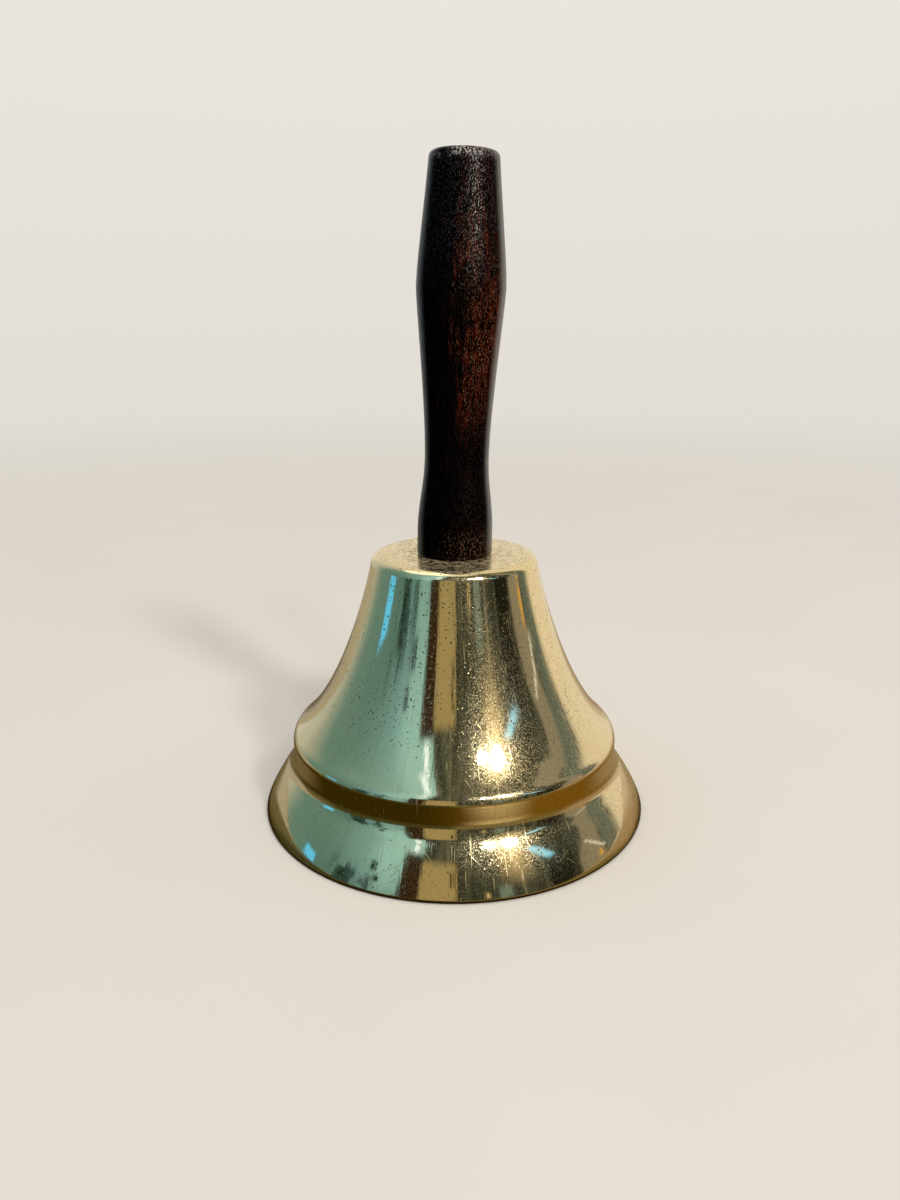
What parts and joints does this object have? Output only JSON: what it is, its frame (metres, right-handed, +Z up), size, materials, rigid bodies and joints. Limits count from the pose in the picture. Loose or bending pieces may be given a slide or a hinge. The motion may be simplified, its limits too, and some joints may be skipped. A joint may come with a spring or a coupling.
{
  "type": "hand bell",
  "caption": "Flared brass hand bell with a stepped band above its rim, a turned dark hardwood handle, and a clapper on a swivelling yoke that swings to strike the inside.",
  "frame": {"origin": "centre of the rim, in the plane that the bell stands on", "axes": "+Z up along the bell's axis towards the handle, +X the side to which the handle leans slightly"},
  "size_m": [0.1, 0.1, 0.1591],
  "materials": {
    "polished_brass": "polished and lacquered, with fine pits, scratches and a dusty crown",
    "dark_hardwood": "near-black brown stain under gloss lacquer, worn to red-brown in places",
    "zinc_steel": "zinc-plated steel, dull",
    "plain_brass": "turned and stamped brass, unpolished"
  },
  "bodies": {
    "bell": {"bell_shell": "polished_brass", "handle": "dark_hardwood", "hanger_bolt": "zinc_steel", "flat_washer": "zinc_steel", "spring_washer": "zinc_steel", "crown_nut": "zinc_steel", "yoke_nut": "zinc_steel"},
    "yoke": {"clapper_yoke": "plain_brass", "yoke_pin": "zinc_steel"},
    "clapper": {"clapper_rod": "zinc_steel", "lock_nut": "zinc_steel", "clapper_ball": "plain_brass"}
  },
  "joints": [
    {"name": "yoke_swivel", "type": "hinge", "parent": "bell", "child": "yoke", "pos_m": [0, 0, 0.0578], "axis": [0, 0, 1], "continuous": true},
    {"name": "clapper_swing", "type": "hinge", "parent": "yoke", "child": "clapper", "pos_m": [0, 0, 0.05], "axis": [0, 1, 0], "range_deg": [-45, 45]}
  ]
}
